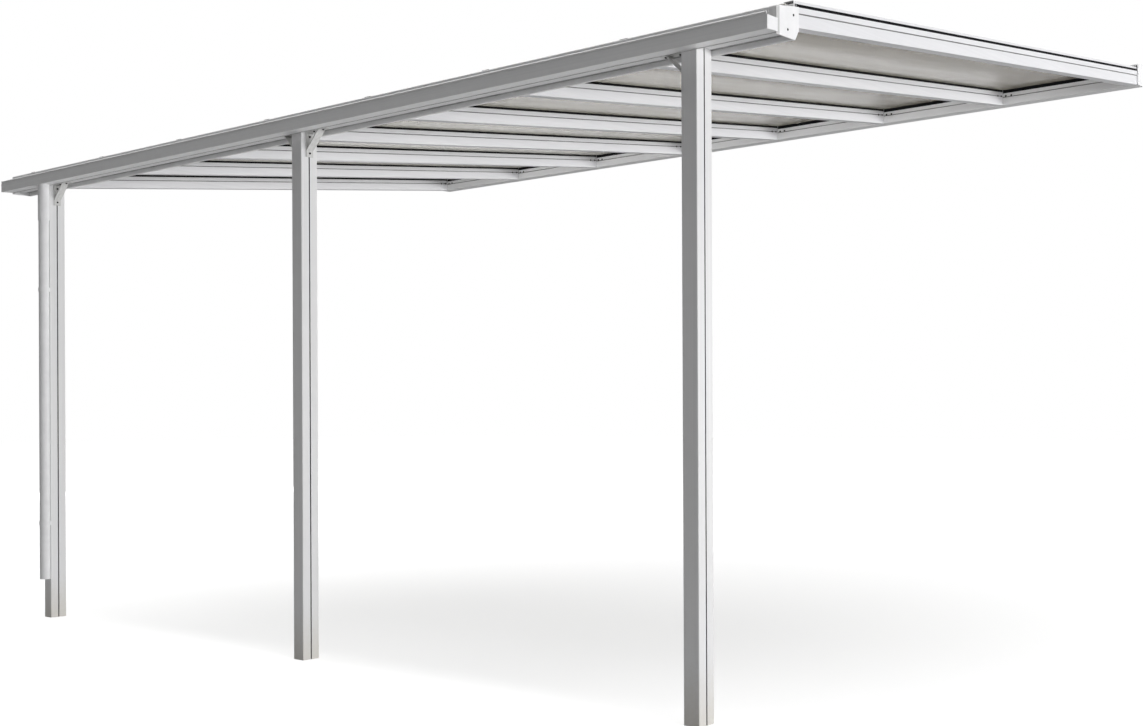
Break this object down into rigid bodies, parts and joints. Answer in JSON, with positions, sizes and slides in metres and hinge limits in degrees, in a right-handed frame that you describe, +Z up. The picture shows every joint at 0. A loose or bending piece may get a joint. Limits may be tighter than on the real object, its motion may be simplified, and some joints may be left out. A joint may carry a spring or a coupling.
{
  "type": "lean-to patio cover",
  "caption": "Lean-to patio cover on posts and a wall rail, with sloping rafters, translucent panels, a front gutter and a downpipe.",
  "frame": {"origin": "centre of the middle post's foot, on the ground", "axes": "+X along the front beam to the right as seen from the front, +Y from the posts to the house wall, +Z up"},
  "size_m": [5.4, 3.7169, 3.0566],
  "materials": {
    "satin_aluminium": "satin, near white",
    "white_trim": "matt white",
    "milky_sheet": "milky, translucent"
  },
  "bodies": {
    "root": {"post_left": "satin_aluminium", "post_middle": "satin_aluminium", "post_right": "satin_aluminium", "front_beam": "satin_aluminium", "gutter": "satin_aluminium", "beam_end_plate_left": "white_trim", "beam_end_plate_right": "white_trim", "gutter_end_cap_left": "white_trim", "gutter_end_cap_right": "white_trim", "wall_rail_end_cap_left": "white_trim", "wall_rail_end_cap_right": "white_trim", "rafter_1": "satin_aluminium", "rafter_2": "satin_aluminium", "rafter_3": "satin_aluminium", "rafter_4": "satin_aluminium", "rafter_5": "satin_aluminium", "rafter_6": "satin_aluminium", "rafter_7": "satin_aluminium", "rafter_8": "satin_aluminium", "rafter_cap_1": "satin_aluminium", "rafter_cap_2": "satin_aluminium", "rafter_cap_3": "satin_aluminium", "rafter_cap_4": "satin_aluminium", "rafter_cap_5": "satin_aluminium", "rafter_cap_6": "satin_aluminium", "rafter_cap_7": "satin_aluminium", "rafter_cap_8": "satin_aluminium", "roof_panel_1": "milky_sheet", "roof_panel_2": "milky_sheet", "roof_panel_3": "milky_sheet", "roof_panel_4": "milky_sheet", "roof_panel_5": "milky_sheet", "roof_panel_6": "milky_sheet", "roof_panel_7": "milky_sheet", "wall_rail": "satin_aluminium", "knee_bracket_left_post": "satin_aluminium", "knee_bracket_middle_post_left": "satin_aluminium", "knee_bracket_middle_post_right": "satin_aluminium", "knee_bracket_right_post": "satin_aluminium", "gutter_outlet": "white_trim", "downpipe": "white_trim", "pipe_clip_lower": "white_trim", "pipe_clip_upper": "white_trim"}
  },
  "joints": []
}
